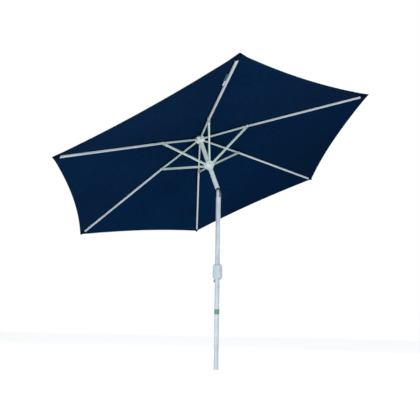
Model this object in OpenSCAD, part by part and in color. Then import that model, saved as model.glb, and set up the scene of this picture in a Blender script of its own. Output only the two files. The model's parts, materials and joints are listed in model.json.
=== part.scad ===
// Patio umbrella with a crank lift, a push-button tilt, six ribs and a vented canopy.
// Origin in the middle of the pole's foot, +Z up the lower pole, canopy tilted towards -X.

/* [Pole] */
// Outside diameter of the three pole tubes
pole_d = 38; // [34:0.5:42]
// Wall of the pole tubes
pole_wall = 1.6; // [1.2:0.1:2]
// Height of the seam between the lower and the middle tube
seam_z = 603; // [560:1:630]
// Height of the tilt pivot
tilt_z = 1406; // [1300:1:1500]
// Distance from the middle tube's top up to the tilt pivot
mid_top_drop = 58; // [52:1:70]
// Length of the foot plug in the lower tube
plug_len = 28; // [15:1:40]
// Wall of the coupler that joins the lower and the middle tube
coupler_wall = 1.6; // [1.2:0.1:2.5]
// Length of the coupler in the lower tube
coupler_below = 80; // [50:1:120]
// Length of the coupler in the middle tube
coupler_above = 60; // [40:1:75]
// Height of the coloured band's lower edge
band_z = 409; // [350:1:440]
// Height of the coloured band
band_h = 38; // [20:1:60]
// How far the coloured band stands out of the tube
band_t = 0.5; // [0.3:0.1:1]
// Depth of the rolled groove that seats the coloured band
band_seat = 0.4; // [0.2:0.1:0.6]

/* [Snap button] */
// Height of the snap button above the seam
snap_rise = 14; // [10:1:30]
// Diameter of the snap button
snap_d = 8; // [6:0.5:10]
// How far the snap button stands out of the tube
snap_proud = 3; // [2:0.5:4]

/* [Crank housing] */
// Height of the crank axis
crank_z = 739.5; // [725:0.5:800]
// Width of the housing
housing_w = 72; // [68:1:84]
// Height of the housing
housing_h = 129; // [120:1:150]
// Reach of the housing in front of the pole's axis
housing_front = 27; // [25:1:34]
// Reach of the housing behind the pole's axis
housing_back = 36; // [35:1:50]
// Corner radius of the housing seen from the front
housing_round = 28; // [18:1:28]
// Corner radius of the housing seen from above
housing_edge = 25; // [8:1:26]
// Corner radius of the housing seen from the side
housing_side_round = 24; // [8:1:27]
// Wall of the housing
housing_wall = 2.4; // [2:0.1:3]
// Radius of the screw bosses
boss_r = 4.6; // [4:0.1:5]
// Diameter of the housing screws
screw_d = 3.5; // [3:0.5:4]

/* [Crank] */
// Diameter of the crank shaft
shaft_d = 10; // [8:0.5:11]
// Radius of the spool that winds the cord
spool_r = 8; // [6.5:0.5:9]
// Radius of the spool's flanges
spool_flange_r = 11; // [10.5:0.5:12]
// Distance from the crank axis to the knob
handle_len = 81; // [70:1:100]
// Angle of the handle at rest, from straight down towards -X
handle_rest = 30; // [0:1:90]
// Width of the handle's arm
handle_w = 13; // [10:1:16]
// Thickness of the handle's arm
handle_t = 8; // [6:0.5:10]
// Diameter of the knob
knob_d = 20; // [16:1:26]
// Length of the knob
knob_len = 31; // [24:1:40]

/* [Tilt joint] */
// Tilt of the canopy at rest
tilt = 20; // [0:1:30]
// Width of the lower knuckle's ears
ear_w = 21; // [18:0.5:22]
// Thickness of each ear
ear_t = 5; // [4:0.5:6]
// Gap between the lower knuckle's ears
ear_gap = 18; // [16:0.5:19]
// Diameter of the tilt pin
tilt_pin_d = 8; // [6:0.5:9]
// Radius of the upper knuckle's tongues
tongue_r = 13; // [12:0.5:14]
// Distance from the tilt pivot up to the upper tube
upper_start = 25; // [22:1:32]
// How far the tilt button stands out from the pole's axis
tilt_button_reach = 21; // [20:0.5:24]
// Height of the tilt button
tilt_button_h = 38; // [24:1:38]
// Travel of the tilt button
tilt_button_travel = 4; // [2:0.5:5]

/* [Hub and runner] */
// Distance from the tilt pivot up to the hub's rib pivots
hub_z = 517; // [500:1:560]
// Outside radius of the hub
hub_r = 38; // [36:0.5:39]
// Outside radius of the rim round the hub's top
hub_rim_r = 43; // [40:0.5:45]
// Height of the hub
hub_h = 36; // [30:1:44]
// Distance from the hub's pivots down to the runner's pivots
runner_drop = 257.5; // [240:0.5:270]
// Outside radius of the runner
runner_r = 42; // [38:0.5:43]
// Height of the runner's slotted part
runner_h = 36; // [30:1:40]
// Height of the runner's lower collar
collar_h = 22; // [10:1:24]
// Diameter of the hinge pins of the hub and the runner
pin_d = 4; // [3:0.5:5]
// Radius of the pulley's groove
pulley_r = 8; // [6:0.5:8.5]
// Diameter of the lift cord
cord_d = 3; // [2:0.5:4]

/* [Ribs and struts] */
// Drop of the inner rib below square to the pole
rib_drop = 12.5; // [8:0.5:18]
// Drop of the outer rib
rib_drop_out = 13.9; // [8:0.1:18]
// Distance along the rib from its pivot to the strut's rivet
rib_joint = 404.7; // [380:0.1:430]
// Distance along the rib from its pivot to its visible end
rib_len = 1323; // [1200:1:1400]
// Width of the inner rib
rib_w = 11.5; // [11:0.5:14]
// Height of the inner rib
rib_h = 11; // [11:0.5:16]
// Width of the outer rib
rib_out_w = 14.5; // [14:0.5:17]
// Height of the outer rib
rib_out_h = 10.5; // [10:0.5:18]
// Wall of the ribs and struts
rib_wall = 1; // [0.8:0.1:1.2]
// Height of the struts
strut_h = 14; // [12:0.5:15]
// Thickness of the strut's fork plates
fork_t = 2; // [1.5:0.1:2.5]
// How far the fork plates stand past the rivet
fork_past = 10.5; // [8:0.5:10.5]
// Diameter of the rivet between rib and strut
rivet_d = 5; // [4:0.5:6]

/* [Canopy] */
// Distance along the rib from its pivot to the canopy's corner
corner_len = 1381; // [1370:1:1440]
// Inward sweep of the hem halfway between two ribs
hem_scallop = 41; // [0:1:90]
// Sag of the hem below the flat panel halfway between two ribs
hem_sag = 8; // [0:1:20]
// Radius of the vent hole
vent_hole_r = 145; // [110:1:180]
// Radius of the vent canopy's corners
vent_r = 262; // [220:1:300]
// Rise of the vent canopy's hem halfway between two ribs
vent_billow = 16; // [8:1:30]
// Thickness of the cloth
cloth_t = 1; // [0.8:0.1:2]
// Radius of the crown patch
crown_r = 60; // [50:1:80]
// Height of the finial
finial_h = 72; // [50:1:110]
// Radius of the finial's foot
finial_r = 25; // [18:1:32]
// Distance along the rib to the tie strap
strap_at = 1060; // [900:1:1150]
// Length of the tie strap's webbing
strap_len = 95; // [50:1:110]
// Width of the tie strap's webbing
strap_w = 14; // [10:1:30]
// Gap between the rib's side and the tie strap's webbing
strap_gap = 4.5; // [1:0.5:8]
// Length of the tie strap's tab
tab_len = 63; // [30:1:80]

/* [Hidden] */
ribs = 6;
step = 360 / ribs;
$fn = 48;

// Clearances
fit_gap = 0.1;      // a plug in a tube, or a fixed pin in its hole
run_gap = 0.05;     // radial clearance of a shaft or hinge pin
slide_gap = 0.3;    // the runner on its pole, and a tongue in a slot
rest_gap = 0.3;     // between neighbouring pieces of different bodies

// Pole
pole_r = pole_d / 2;
bore_r = pole_r - pole_wall;
mid_top = tilt_z - mid_top_drop;
coupler_r = bore_r - fit_gap;
coupler_in = coupler_r - coupler_wall;

// Snap button
snap_z = seam_z + snap_rise;
snap_flange_r = snap_d / 2 + 2;
snap_flange_t = 1.5;
snap_leaf_t = 0.8;
snap_flange_x = sqrt(coupler_in * coupler_in - snap_flange_r * snap_flange_r) - rest_gap;

// Crank
shaft_r = shaft_d / 2;
cord_r = cord_d / 2;
drum_half = 9;
flange_t = 2;
bush_in = drum_half + flange_t + 1;
bush_out = pole_r + 3;
front_bush_r = shaft_r + 2.5;
back_bush_r = spool_flange_r + 0.6;
brake_r = shaft_r + 3;
brake_from = bush_out + 1.5;
brake_to = housing_back - housing_wall - 4;
coil_t = 1.2;
handle_y = housing_back + 3;
handle_hub_r = shaft_r + 5;
handle_boss_r = 7.5;
knob_from = handle_y + handle_t + 0.5;
knob_pin_r = 3;
screw_x = pole_r + fit_gap + 2.2 + boss_r;
screw_z = housing_h / 2 - housing_round - boss_r + 2;
screw_head_y = housing_back - 15;
screw_bore = 16;     // how deep the screws go into the front half
cord_x = -(spool_r + cord_r + rest_gap);

// Tilt joint
ear_r = ear_w / 2;
ear_in = ear_gap / 2;
ear_out = ear_in + ear_t;
tongue_gap = cord_r + 1.5;
knuckle_plug = 60;
flange_h = 4;
tilt_pin_r = tilt_pin_d / 2;
button_top = -(tongue_r + 3);
button_in = 3;
web_t = 2.5;
web_x = cord_x + cord_r + 0.8;
rivet_r = 2.5;
upper_plug = 55;

// Hub and runner
tongue_w = 10;
slot_w = tongue_w + 2 * slide_gap + 0.4;
rib_end_r = 5.3;
hub_wall = 3.3;
hub_slot_r = pole_r + hub_wall;
hub_pivot_r = hub_slot_r + rib_end_r + 0.7;
hub_web = 4;
pin_r = pin_d / 2;
pin_len = 24;
hub_top = hub_z + hub_h / 2;
runner_z = hub_z - runner_drop;
runner_bore_r = pole_r + slide_gap;
runner_wall = 3.2;
runner_slot_r = runner_bore_r + runner_wall;
strut_end_r = strut_h / 2;
runner_pivot_r = runner_slot_r + strut_end_r + 0.5;
collar_r = runner_slot_r + 3;
top_collar_h = 8;
pulley_y = pole_r - 5;
pulley_below = 19;
pulley_z = hub_z - hub_h / 2 - pulley_below;
pulley_flange_r = pulley_r + 2;
pulley_w = cord_d + 4;
cord_wrap_r = pulley_r + cord_r + rest_gap;
anchor_depth = 8;
cord_from = [cord_x, 0, tongue_r - 5];
cord_to = [0, pulley_y - cord_wrap_r, pulley_z + 1];
cord_mid = cord_from + (cord_to - cord_from)
    * (upper_start + upper_plug / 2 - cord_from[2]) / (cord_to[2] - cord_from[2]);

// Ribs and struts
rib_start = 18;
rib_solid = 10;
rib_past = 10;       // how far the inner rib goes past the rivet before it narrows
neck_w = min(rib_w, rib_out_w - 2 * rib_wall) - 0.6;
neck_h = min(rib_h, rib_out_h - 2 * rib_wall) - 0.6;
rib_splice = 44;
rib_lap = 2;         // how far one section of a rib reaches past the next one's end
outer_start = rib_joint + rib_past + rib_lap;
tip_len = 47;
tip_w = 9;
tip_t = 4;
tip_drop = 3;
tip_plug = 24;
tip_cap = 3;
joint_r = hub_pivot_r + rib_joint * cos(rib_drop);
joint_dz = rib_joint * sin(rib_drop);
strut_dx = joint_r - runner_pivot_r;
strut_dz = runner_drop - joint_dz;
strut_len = sqrt(strut_dx * strut_dx + strut_dz * strut_dz);
strut_angle = atan2(strut_dz, strut_dx);
strut_w = rib_w + 2 * slide_gap;
fork_corner = 4;
fork_len = 46;
strut_start = 28;
strut_tail = 20;
open_gap = 0.8;      // spare room round the runner's pin in the strut's open pivot
open_travel = 3.8;   // how far that pin moves across the strut in mid-stroke
rivet_head_r = rivet_d / 2 + 2;
rivet_head_t = 1.5;

// Canopy
fork_reach = norm([fork_past - fork_corner, strut_h / 2 - fork_corner]) + fork_corner;
lift_joint = (fork_reach + rest_gap) / cos(rib_drop)
    + (strut_w / 2 + fork_t) * tan(step / 2) * tan(rib_drop);
lift_tip = (rib_out_h / 2 + rest_gap) / cos(rib_drop_out)
    + rib_out_w / 2 * tan(step / 2) * tan(rib_drop_out) + 0.1
    + hem_sag * 4 * (rib_out_w / 2) / (corner_len * sin(step));
vent_in_r = (hub_rim_r + 2) / cos(step / 2);
crown_out_r = max(crown_r, vent_in_r + 3);
vent_in_z = hub_top + 1;
gore_rows_in = 2;
gore_rows_out = 5;
gore_half = 4;
vent_rows = 3;
seam_trim = 0.2;
strap_t = 2;
tab_t = 3;
tab_lap = 4;         // how far the webbing is sewn over its tab
strap_far = rib_out_w / 2 + strap_gap + strap_w;
// The strap's upper face, in the outer rib's frame, just under the cloth at its far edge
strap_top = (lift_tip - strap_far * tan(step / 2) * tan(rib_drop_out)
    - hem_sag * 4 * strap_far / (corner_len * sin(step))) * cos(rib_drop_out) - rest_gap;
strap_rib = ribs;

// Radius from the pole's axis, and height above the hub's pivots, of a point along the rib
function rib_x(s) = hub_pivot_r + min(s, rib_joint) * cos(rib_drop)
    + max(s - rib_joint, 0) * cos(rib_drop_out);
function rib_dz(s) = -min(s, rib_joint) * sin(rib_drop) - max(s - rib_joint, 0) * sin(rib_drop_out);
// The cloth's underside rests on the fork ends at the joint and on the rib at its tip
function cloth_lift(s) = lift_joint
    + (lift_tip - lift_joint) * max(s - rib_joint, 0) / (corner_len - rib_joint);
function cloth_z(s) = hub_z + rib_dz(s) + cloth_lift(s);
function along_at(r) = (r - hub_pivot_r) / cos(rib_drop);
// 0 on the ribs, 1 halfway between two ribs; f is the share of the way from one rib to the next
function between(f) = 4 * f * (1 - f);
function hem_at(f) = corner_len - hem_scallop / cos(step / 2) * between(f);
// Distance along the rib of the main canopy's row i, with one row on the rib's bend
function gore_s(i, f) = i <= gore_rows_in
    ? along_at(vent_hole_r) + (rib_joint - along_at(vent_hole_r)) * i / gore_rows_in
    : rib_joint + (hem_at(f) - rib_joint) * (i - gore_rows_in) / gore_rows_out;
// A point of the main canopy: s along the rib, f from -0.5 to 0.5 across the gore
function spread(r, f, z) = [
    r * (1 - abs(f) * (1 - cos(step))),
    sign(f) * (r * abs(f) * sin(step) - (abs(f) > 0.49 ? seam_trim : 0)),
    z];
function gore_point(s, f) = spread(rib_x(s), f,
    cloth_z(s) - hem_sag * between(abs(f)) * pow(s / corner_len, 2));
function vent_z(r) = vent_in_z + (r - vent_in_r) / (vent_r - vent_in_r)
    * (cloth_z(along_at(vent_r)) + cloth_t + 1 - vent_in_z);
function vent_point(r, f) = spread(r, f,
    vent_z(r) + vent_billow * between(abs(f)) * (r - vent_in_r) / (vent_r - vent_in_r));

module in_head() {
    translate([0, 0, tilt_z]) rotate([0, -tilt, 0]) children();
}

module at_rib(k) {
    in_head() rotate([0, 0, (k - 1) * step]) children();
}

// Inner rib's own frame: +X outwards along the rib, origin at its pivot
module in_rib(k) {
    at_rib(k) translate([hub_pivot_r, 0, hub_z]) rotate([0, rib_drop, 0]) children();
}

// Outer rib's own frame: +X outwards along the rib, origin at the strut's rivet
module in_outer(k) {
    at_rib(k) translate([joint_r, 0, hub_z - joint_dz]) rotate([0, rib_drop_out, 0]) children();
}

module tube(r, wall, from, to) {
    translate([0, 0, from]) difference() {
        cylinder(r = r, h = to - from);
        translate([0, 0, -1]) cylinder(r = r - wall, h = to - from + 2);
    }
}

module along_x(r, from, to) {
    translate([from, 0, 0]) rotate([0, 90, 0]) cylinder(r = r, h = to - from);
}

module along_y(r, from, to) {
    translate([0, from, 0]) rotate([-90, 0, 0]) cylinder(r = r, h = to - from);
}

module bar(from, to, w, h) {
    translate([from, -w / 2, -h / 2]) cube([to - from, w, h]);
}

module box_tube(from, to, w, h, wall) {
    difference() {
        bar(from, to, w, h);
        bar(from - 1, to + 1, w - 2 * wall, h - 2 * wall);
    }
}

module rounded(w, h, r) {
    square([w - 2 * r, h], center = true);
    square([w, h - 2 * r], center = true);
    for (x = [-1, 1]) for (y = [-1, 1])
        translate([x * (w / 2 - r), y * (h / 2 - r)]) circle(r = r);
}

module rod_between(a, b, r) {
    d = b - a;
    len = norm(d);
    translate(a) rotate([0, acos(d[2] / len), atan2(d[1], d[0])]) cylinder(r = r, h = len);
}

// A thin closed sheet from rows of points on its underside
module cloth(rows, t) {
    n = len(rows);
    m = len(rows[0]);
    low = [for (row = rows) for (p = row) p];
    all = concat(low, [for (p = low) p + [0, 0, t]]);
    top = n * m;
    quads = [for (i = [0:n - 2]) for (j = [0:m - 2])
        [i * m + j, (i + 1) * m + j, (i + 1) * m + j + 1, i * m + j + 1]];
    rim = concat(
        [for (j = [0:m - 2]) [j, j + 1]],
        [for (i = [0:n - 2]) [i * m + m - 1, (i + 1) * m + m - 1]],
        [for (j = [m - 1:-1:1]) [(n - 1) * m + j, (n - 1) * m + j - 1]],
        [for (i = [n - 1:-1:1]) [i * m, (i - 1) * m]]);
    polyhedron(all, concat(
        [for (q = quads) [q[0], q[1], q[2]]],
        [for (q = quads) [q[0], q[2], q[3]]],
        [for (q = quads) [top + q[2], top + q[1], top + q[0]]],
        [for (q = quads) [top + q[3], top + q[2], top + q[0]]],
        [for (e = rim) [e[0], e[1], top + e[1]]],
        [for (e = rim) [e[0], top + e[1], top + e[0]]]));
}

// ---- Pole ----

module lower_pole() {
    color("#d3dde3") difference() {
        tube(pole_r, pole_wall, 0, seam_z);
        tube(pole_r + 1, band_seat + 1, band_z, band_z + band_h);
    }
}

module foot_plug() {
    color("#5b6067") difference() {
        cylinder(r = coupler_r, h = plug_len);
        translate([0, 0, 3]) cylinder(r = coupler_r - 2.5, h = plug_len);
    }
}

module green_band() {
    color("#46966a") tube(pole_r + band_t, band_t + band_seat - run_gap,
        band_z + fit_gap, band_z + band_h - fit_gap);
}

module pole_coupler() {
    color("#aab2ba") difference() {
        tube(coupler_r, coupler_wall, seam_z - coupler_below, seam_z + coupler_above);
        translate([0, 0, snap_z]) along_x(snap_d / 2 + rest_gap, 0, pole_d);
    }
}

module snap_button() {
    color("#a0a6ab") translate([0, 0, snap_z]) {
        along_x(snap_flange_r, snap_flange_x - snap_flange_t, snap_flange_x);
        along_x(snap_d / 2, snap_flange_x - snap_flange_t, pole_r + snap_proud - 1);
        translate([pole_r + snap_proud - 1, 0, 0]) rotate([0, 90, 0])
            cylinder(r1 = snap_d / 2, r2 = snap_d / 2 - 1, h = 1);
    }
}

// A V-shaped leaf: one leg behind the button, the other on the far wall
module snap_spring() {
    leaf_w = 7;
    leg = 42;
    right = snap_flange_x - snap_flange_t - fit_gap;
    left = -sqrt(coupler_in * coupler_in - leaf_w * leaf_w / 4) + fit_gap;
    t = snap_leaf_t;
    color("#8b9096") translate([0, leaf_w / 2, snap_z]) rotate([90, 0, 0])
        linear_extrude(leaf_w) polygon([
            [right - t, 5], [right, 5], [right, -5], [t, -leg], [-t, -leg],
            [left, -5], [left, 5], [left + t, 5], [left + t, -5], [0, 2 * t - leg],
            [right - t, -5]]);
}

module mid_pole() {
    color("#c9d3dc") difference() {
        tube(pole_r, pole_wall, seam_z, mid_top);
        translate([0, 0, snap_z]) along_x(snap_d / 2 + rest_gap, 0, pole_d);
        translate([0, 0, crank_z]) {
            along_y(front_bush_r + fit_gap, -pole_d, 0);
            along_y(back_bush_r + fit_gap, 0, pole_d);
        }
        knuckle_rivet_holes(mid_top - knuckle_plug / 2);
    }
}

// ---- Crank housing ----

module housing_block(inset) {
    w = housing_w - 2 * inset;
    h = housing_h - 2 * inset;
    d = housing_front + housing_back - 2 * inset;
    y = (housing_back - housing_front) / 2;
    far = housing_h;
    edge = housing_edge - inset;
    shoulder = housing_round - inset;
    r = norm([w / 2 - edge, d / 2 - edge]) + edge - shoulder;
    arc = [for (a = [0:11.25:90]) [r + shoulder * sin(a), h / 2 - shoulder + shoulder * cos(a)]];
    intersection() {
        translate([0, far / 2, 0]) rotate([90, 0, 0])
            linear_extrude(far) rounded(w, h, housing_round - inset);
        translate([0, y, -far]) linear_extrude(2 * far) rounded(w, d, housing_edge - inset);
        translate([-far / 2, y, 0]) rotate([90, 0, 90])
            linear_extrude(far) rounded(d, h, housing_side_round - inset);
        translate([0, y, 0]) rotate_extrude() polygon(concat([[0, h / 2]], arc,
            [for (i = [len(arc) - 1:-1:0]) [arc[i][0], -arc[i][1]]], [[0, -h / 2]]));
    }
}

module screw_spots() {
    for (x = [-1, 1]) for (z = [-1, 1]) translate([x * screw_x, 0, z * screw_z]) children();
}

module housing_shell() {
    difference() {
        union() {
            difference() {
                housing_block(0);
                housing_block(housing_wall);
            }
            intersection() {
                housing_block(housing_wall / 2);
                screw_spots() along_y(boss_r, -housing_front, housing_back);
            }
        }
        translate([0, 0, -housing_h]) cylinder(r = pole_r + fit_gap, h = 2 * housing_h);
    }
}

module housing_front_half() {
    color("#cfd9df") translate([0, 0, crank_z]) difference() {
        intersection() {
            housing_shell();
            translate([-housing_w, -housing_back, -housing_h]) cube(
                [2 * housing_w, housing_back, 2 * housing_h]);
        }
        screw_spots() along_y(screw_d / 2 + run_gap, -screw_bore, 1);
    }
}

module housing_back_half() {
    color("#cfd9df") translate([0, 0, crank_z]) difference() {
        intersection() {
            housing_shell();
            translate([-housing_w, 0, -housing_h]) cube(
                [2 * housing_w, 2 * housing_back, 2 * housing_h]);
        }
        screw_spots() along_y(screw_d / 2 + 0.3, -1, housing_back + 1);
        screw_spots() along_y(screw_d + 0.3, screw_head_y, housing_back + 1);
        along_y(shaft_r + 0.5, brake_to, housing_back + 1);
    }
}

module housing_screws() {
    color("#9aa0a6") translate([0, 0, crank_z]) screw_spots() {
        along_y(screw_d / 2, 1 - screw_bore, screw_head_y + 0.1);
        along_y(screw_d, screw_head_y + 0.05, screw_head_y + 2.5);
    }
}

module spool_bushings() {
    color("#e6e2d4") translate([0, 0, crank_z]) {
        difference() {
            along_y(front_bush_r, -bush_out, -bush_in);
            along_y(shaft_r + run_gap, -bush_out - 1, 0);
        }
        difference() {
            along_y(back_bush_r, bush_in, bush_out);
            along_y(shaft_r + run_gap, 0, bush_out + 1);
        }
    }
}

// The wrap spring's close coils round the brake drum
module brake_spring() {
    coils = floor((brake_to - brake_from - 1) / coil_t);
    color("#7d838a") translate([0, 0, crank_z]) difference() {
        for (i = [0:coils - 1])
            along_y(brake_r + fit_gap + coil_t * (0.86 + 0.14 * (i % 2)),
                brake_from + 0.5 + i * coil_t, brake_from + 0.5 + (i + 1) * coil_t);
        along_y(brake_r + fit_gap, brake_from, brake_to);
    }
}

module crank_spool() {
    color("#8f959b") translate([0, 0, crank_z]) {
        along_y(shaft_r, -bush_out + 1, handle_y + handle_t);
        along_y(spool_r, -drum_half, drum_half);
        for (y = [-1, 1]) along_y(spool_flange_r, y * (drum_half + flange_t / 2) - flange_t / 2,
            y * (drum_half + flange_t / 2) + flange_t / 2);
        along_y(brake_r, brake_from, brake_to);
    }
}

module at_knob() {
    translate([0, 0, crank_z]) rotate([0, 90 + handle_rest, 0])
        translate([handle_len, 0, 0]) children();
}

module crank_handle() {
    color("#565b62") difference() {
        union() {
            translate([0, 0, crank_z]) {
                along_y(handle_hub_r, housing_back + 0.6, handle_y + handle_t + 2);
                rotate([0, 90 + handle_rest, 0]) translate([0, handle_y, -handle_w / 2])
                    cube([handle_len, handle_t, handle_w]);
            }
            at_knob() along_y(handle_boss_r, handle_y, handle_y + handle_t);
        }
        translate([0, 0, crank_z]) along_y(shaft_r + fit_gap, 0, handle_y + handle_t + 0.1);
        at_knob() along_y(knob_pin_r + fit_gap, 0, 2 * housing_h);
    }
}

module knob_rivet() {
    color("#9aa0a6") at_knob() {
        along_y(knob_pin_r, handle_y, knob_from + knob_len + 0.4);
        along_y(knob_pin_r + 2, knob_from + knob_len + 0.3, knob_from + knob_len + 2);
    }
}

module crank_knob() {
    waist = 0.84;
    color("#474c53") at_knob() rotate([-90, 0, 0]) translate([0, 0, knob_from]) difference() {
        union() {
            cylinder(r1 = knob_d / 2 * waist, r2 = knob_d / 2, h = knob_len / 2);
            translate([0, 0, knob_len / 2]) cylinder(r = knob_d / 2, h = knob_len / 4);
            translate([0, 0, knob_len * 3 / 4])
                cylinder(r1 = knob_d / 2, r2 = knob_d / 2 * waist, h = knob_len / 4);
        }
        translate([0, 0, -1]) cylinder(r = knob_pin_r + run_gap, h = knob_len + 2);
    }
}

// ---- Tilt joint ----

module knuckle_rivet_holes(z) {
    translate([0, 0, z]) along_x(rivet_r + fit_gap, -pole_d, pole_d);
}

module lower_knuckle() {
    color("#cfcfe0") translate([0, 0, tilt_z]) difference() {
        union() {
            translate([0, 0, -mid_top_drop]) cylinder(r = pole_r, h = flange_h);
            translate([0, 0, -mid_top_drop - knuckle_plug])
                cylinder(r = coupler_r, h = knuckle_plug + 1);
            for (side = [-1, 1]) {
                translate([0, side * (ear_in + ear_t / 2), 0]) {
                    along_y(ear_r, -ear_t / 2, ear_t / 2);
                    translate([-ear_r, -ear_t / 2, -mid_top_drop + 1])
                        cube([ear_w, ear_t, mid_top_drop - 1]);
                }
            }
            translate([web_x, -ear_in - 1, -mid_top_drop + 1])
                cube([web_t, ear_gap + 2, mid_top_drop - 1 - tongue_r - 4]);
        }
        along_y(tilt_pin_r + fit_gap, -pole_d, pole_d);
        translate([cord_x, 0, -2 * mid_top_drop - knuckle_plug])
            cylinder(r = cord_r + rest_gap, h = 2 * mid_top_drop + knuckle_plug);
        knuckle_rivet_holes(-mid_top_drop - knuckle_plug / 2);
    }
}

module knuckle_rivets() {
    color("#9aa0a6") translate([0, 0, mid_top - knuckle_plug / 2]) for (x = [-1, 1])
        scale([x, 1, 1]) {
            along_x(rivet_r, -cord_x + cord_r + 1, pole_r + 0.2);
            translate([pole_r + 0.1, 0, 0]) rotate([0, 90, 0])
                cylinder(r1 = rivet_r + 1.8, r2 = rivet_r, h = 1.4);
        }
}

module tilt_pin() {
    color("#9aa0a6") translate([0, 0, tilt_z]) {
        along_y(tilt_pin_r, -ear_out - 1, ear_out + 1);
        for (side = [0, 1]) rotate([0, 0, side * 180]) translate([0, ear_out + 0.1, 0])
            rotate([-90, 0, 0]) cylinder(r1 = tilt_pin_r + 2, r2 = tilt_pin_r + 1, h = 1.6);
    }
}

module tilt_button() {
    half = ear_in - rest_gap;
    foot = -mid_top_drop + flange_h + rest_gap;
    height = min(tilt_button_h, button_top - foot);
    color("#6d7178") translate([0, 0, tilt_z + button_top - height]) difference() {
        translate([button_in, -half, 0]) cube([tilt_button_reach - button_in, 2 * half, height]);
        // Ribbed thumb face
        for (i = [1:4]) translate([tilt_button_reach, 0, i * height / 5])
            along_y(0.9, -half - 1, half + 1);
    }
}

module tilt_spring() {
    coils = 5;
    from = web_x + web_t + fit_gap;
    pitch = (button_in - fit_gap - from) / coils;
    color("#8b9096") translate([0, 0, tilt_z + button_top - tilt_button_h / 2]) difference() {
        for (i = [0:coils - 1]) translate([from + i * pitch, 0, 0]) rotate([0, 90, 0]) {
            cylinder(r1 = 4, r2 = 4.6, h = pitch / 2);
            translate([0, 0, pitch / 2]) cylinder(r1 = 4.6, r2 = 4, h = pitch / 2);
        }
        along_x(3.2, from - 1, button_in + 1);
    }
}

module upper_knuckle() {
    color("#3d3a46") in_head() difference() {
        union() {
            translate([0, 0, upper_start]) cylinder(r = coupler_r, h = upper_plug);
            for (side = [-1, 1]) {
                y = side > 0 ? tongue_gap : -ear_in + run_gap;
                t = ear_in - run_gap - tongue_gap;
                along_y(tongue_r, y, y + t);
                translate([-tongue_r, y, 0]) cube([2 * tongue_r, t, upper_start + 1]);
            }
        }
        along_y(tilt_pin_r + run_gap, -pole_d, pole_d);
        // Lock notches for the tilt positions
        for (a = [-1:2]) rotate([0, 10 * a, 0]) translate([0, 0, -tongue_r])
            along_y(0.9, -pole_d, pole_d);
        translate([cord_mid[0], cord_mid[1], upper_start - 1])
            cylinder(r = cord_r + rest_gap + 0.8, h = upper_plug + 2);
    }
}

// ---- Upper pole, hub and lift cord ----

module upper_pole() {
    color("#c3d2cf") in_head() difference() {
        tube(pole_r, pole_wall, upper_start, hub_top - hub_web - 1);
        translate([-pulley_w / 2 - 1, 0, pulley_z - pulley_flange_r - 3])
            cube([pulley_w + 2, pole_d, 2 * pulley_flange_r + 6]);
        translate([0, pulley_y, pulley_z]) along_x(pin_r + fit_gap, -pole_d, pole_d);
    }
}

module slots(from, w, h) {
    for (k = [1:ribs]) rotate([0, 0, (k - 1) * step]) translate([from, -w / 2, -h])
        cube([2 * runner_r, w, 2 * h]);
}

module pin_holes(r, radius) {
    for (k = [1:ribs]) rotate([0, 0, (k - 1) * step]) translate([radius, 0, 0])
        along_y(r, -pin_len / 2 - 1, pin_len / 2 + 1);
}

module hub() {
    edge = 4;
    color("#d9dedf") in_head() translate([0, 0, hub_z]) difference() {
        rotate_extrude() polygon([
            [pole_r + fit_gap, -hub_h / 2], [hub_r - edge, -hub_h / 2],
            [hub_r, -hub_h / 2 + edge], [hub_r, -edge], [hub_rim_r, 0],
            [hub_rim_r, hub_h / 2 - edge], [hub_rim_r - edge, hub_h / 2],
            [5.2, hub_h / 2], [5.2, hub_h / 2 - hub_web],
            [pole_r + fit_gap, hub_h / 2 - hub_web]]);
        slots(hub_slot_r, slot_w, hub_h);
        pin_holes(pin_r + fit_gap, hub_pivot_r);
    }
}

module hub_pins() {
    color("#9aa0a6") in_head() translate([0, 0, hub_z]) for (k = [1:ribs])
        rotate([0, 0, (k - 1) * step]) translate([hub_pivot_r, 0, 0])
            along_y(pin_r, -pin_len / 2, pin_len / 2);
}

module pulley() {
    lip = (pulley_w - cord_d - 1) / 2;
    color("#e6e2d4") in_head() translate([0, pulley_y, pulley_z]) rotate([0, 90, 0])
        rotate_extrude() polygon([
            [pin_r + run_gap, -pulley_w / 2], [pulley_flange_r, -pulley_w / 2],
            [pulley_flange_r, -pulley_w / 2 + lip * 0.6], [pulley_r, -cord_r],
            [pulley_r, cord_r], [pulley_flange_r, pulley_w / 2 - lip * 0.6],
            [pulley_flange_r, pulley_w / 2], [pin_r + run_gap, pulley_w / 2]]);
}

module pulley_pin() {
    reach = sqrt(pole_r * pole_r - pulley_y * pulley_y);
    color("#9aa0a6") in_head() translate([0, pulley_y, pulley_z]) along_x(pin_r, -reach, reach);
}

module lift_cord_lower() {
    color("#e9e9e4") translate([cord_x, 0, crank_z])
        cylinder(r = cord_r, h = tilt_z - 6 - crank_z);
}

module lift_cord_upper() {
    color("#e9e9e4") in_head() {
        rod_between(cord_from, cord_to, cord_r - 0.1);
        translate([0, pulley_y, pulley_z]) rotate([90, 0, 90])
            rotate_extrude(angle = 180) translate([cord_wrap_r, 0]) circle(r = cord_r);
    }
}

module lift_cord_tail() {
    top = runner_z + runner_h / 2 + top_collar_h;
    color("#e9e9e4") in_head() translate([0, pulley_y + cord_wrap_r, top - anchor_depth])
        cylinder(r = cord_r, h = pulley_z - top + anchor_depth - rest_gap);
}

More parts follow.
